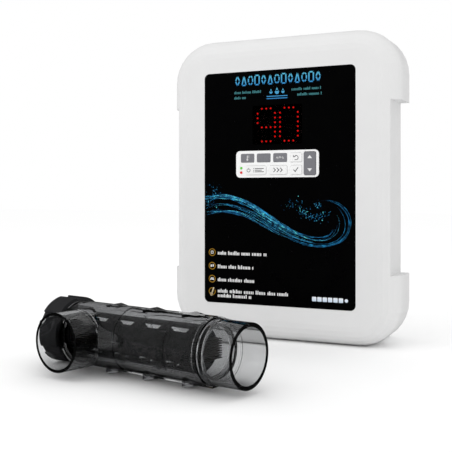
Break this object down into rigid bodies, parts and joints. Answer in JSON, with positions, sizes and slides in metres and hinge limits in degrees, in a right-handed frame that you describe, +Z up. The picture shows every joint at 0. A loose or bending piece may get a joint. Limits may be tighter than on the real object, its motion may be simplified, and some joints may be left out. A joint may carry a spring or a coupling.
{
  "type": "salt chlorine generator",
  "caption": "Wall control box with display and keypad, and a smoked T-shaped electrolysis cell with a removable electrode cartridge for a pool's pipework.",
  "frame": {"origin": "on the box's flat bottom, midway across it, 16 mm in front of the seam between cover and base", "axes": "+Z up; the box's display faces -Y and its wall side +Y; +X to the right seen from the front; the cell lies in front of the box, its main axis turned 12 degrees from +X towards -Y"},
  "size_m": [0.3165, 0.3718, 0.36],
  "materials": {
    "shell_white": "fine textured",
    "base_grey": "fine textured",
    "seal_rubber": "moulded",
    "oring_rubber": "moulded",
    "panel_black": "gloss printed film",
    "window_smoke": "smoked clear",
    "keypad_white": "satin",
    "lens_grey": "satin",
    "rocker_grey": "satin",
    "key_white": "satin",
    "led_green": "diffused",
    "led_red": "diffused",
    "digit_black": "moulded",
    "dot_red": "glowing",
    "board_green": "solder mask",
    "switch_black": "moulded",
    "winding_copper": "lacquered wire",
    "heat_sink_aluminium": "extruded",
    "terminal_green": "moulded",
    "capacitor_sleeve": "sleeved",
    "holder_black": "moulded",
    "fuse_metal": "plated",
    "ribbon_grey": "flat cable",
    "screw_steel": "zinc plated",
    "gland_grey": "moulded nylon",
    "cell_smoke": "smoked clear",
    "nut_black": "moulded",
    "head_black": "moulded",
    "cage_black": "moulded",
    "plate_titanium": "coated titanium",
    "stud_titanium": "machined titanium",
    "nut_brass": "machined"
  },
  "bodies": {
    "control_box": {"front_cover": "shell_white", "base_back": "base_grey", "base_walls": "base_grey", "base_rim": "base_grey", "gland_shelf": "base_grey", "cover_gasket": "seal_rubber", "front_overlay": "panel_black", "display_window": "window_smoke", "keypad_frame": "keypad_white", "temp_lens": "lens_grey", "spare_lens": "lens_grey", "salt_lens": "lens_grey", "green_led": "led_green", "red_led": "led_red", "tens_display": "digit_black", "units_display": "digit_black", "lit_dots": "dot_red", "display_board": "board_green", "power_board": "board_green", "key_switches": "switch_black", "transformer": "winding_copper", "heat_sink": "heat_sink_aluminium", "terminal_block": "terminal_green", "capacitors": "capacitor_sleeve", "fuse_holder": "holder_black", "fuse": "fuse_metal", "ribbon_cable": "ribbon_grey", "cover_screws": "screw_steel", "mains_gland": "gland_grey", "cell_gland": "gland_grey", "sensor_gland": "gland_grey"},
    "menu_key": {"menu_key": "key_white"},
    "boost_key": {"boost_key": "key_white"},
    "back_key": {"back_key": "key_white"},
    "confirm_key": {"confirm_key": "key_white"},
    "level_rocker": {"level_rocker": "rocker_grey"},
    "fuse_cap": {"fuse_cap": "holder_black"},
    "mains_gland_nut": {"mains_gland_nut": "gland_grey"},
    "cell_gland_nut": {"cell_gland_nut": "gland_grey"},
    "sensor_gland_nut": {"sensor_gland_nut": "gland_grey"},
    "cell": {"cell_housing": "cell_smoke"},
    "cartridge": {"cell_head": "head_black", "head_seal": "oring_rubber", "cage_upper": "cage_black", "cage_lower": "cage_black", "electrode_plate_1": "plate_titanium", "electrode_plate_2": "plate_titanium", "electrode_plate_3": "plate_titanium", "electrode_plate_4": "plate_titanium", "electrode_plate_5": "plate_titanium", "electrode_plate_6": "plate_titanium", "electrode_plate_7": "plate_titanium", "electrode_plate_8": "plate_titanium", "electrode_plate_9": "plate_titanium", "anode_stud": "stud_titanium", "cathode_stud": "stud_titanium", "sensing_rod": "stud_titanium", "stud_nuts": "nut_brass"},
    "union_nut": {"union_nut": "nut_black"},
    "terminal_cover": {"terminal_cover": "head_black"}
  },
  "joints": [
    {"name": "menu_key_press", "type": "slide", "parent": "control_box", "child": "menu_key", "axis": [0, 1, 0], "range_m": [0, 0.0008], "stiffness_N_per_m": 1500},
    {"name": "boost_key_press", "type": "slide", "parent": "control_box", "child": "boost_key", "axis": [0, 1, 0], "range_m": [0, 0.0008], "stiffness_N_per_m": 1500},
    {"name": "back_key_press", "type": "slide", "parent": "control_box", "child": "back_key", "axis": [0, 1, 0], "range_m": [0, 0.0008], "stiffness_N_per_m": 1500},
    {"name": "confirm_key_press", "type": "slide", "parent": "control_box", "child": "confirm_key", "axis": [0, 1, 0], "range_m": [0, 0.0008], "stiffness_N_per_m": 1500},
    {"name": "level_rock", "type": "hinge", "parent": "control_box", "child": "level_rocker", "pos_m": [0.0409, -0.0378, 0.208], "axis": [1, 0, 0], "range_deg": [-2.5, 2.5], "stiffness_Nm_per_rad": 0.4},
    {"name": "fuse_cap_turn", "type": "hinge", "parent": "control_box", "child": "fuse_cap", "pos_m": [0.066, 0.038, 0.026], "axis": [0, 0, 1], "range_deg": [0, 90]},
    {"name": "mains_gland_nut_turn", "type": "hinge", "parent": "control_box", "child": "mains_gland_nut", "pos_m": [-0.066, 0.038, 0.02], "axis": [0, 0, 1], "continuous": true},
    {"name": "cell_gland_nut_turn", "type": "hinge", "parent": "control_box", "child": "cell_gland_nut", "pos_m": [-0.022, 0.038, 0.02], "axis": [0, 0, 1], "continuous": true},
    {"name": "sensor_gland_nut_turn", "type": "hinge", "parent": "control_box", "child": "sensor_gland_nut", "pos_m": [0.022, 0.038, 0.02], "axis": [0, 0, 1], "continuous": true},
    {"name": "cell_lift", "type": "slide", "parent": "control_box", "child": "cell", "axis": [0, 0, 1], "range_m": [0, 0.1]},
    {"name": "cartridge_slide", "type": "slide", "parent": "cell", "child": "cartridge", "axis": [-0.9781, 0.2079, 0], "range_m": [0, 0.2]},
    {"name": "union_nut_turn", "type": "hinge", "parent": "cartridge", "child": "union_nut", "pos_m": [-0.14513, -0.23768, 0.0345], "axis": [0.9781, -0.2079, 0], "continuous": true},
    {"name": "terminal_cover_slide", "type": "slide", "parent": "cartridge", "child": "terminal_cover", "axis": [-0.9781, 0.2079, 0], "range_m": [0, 0.03]}
  ]
}
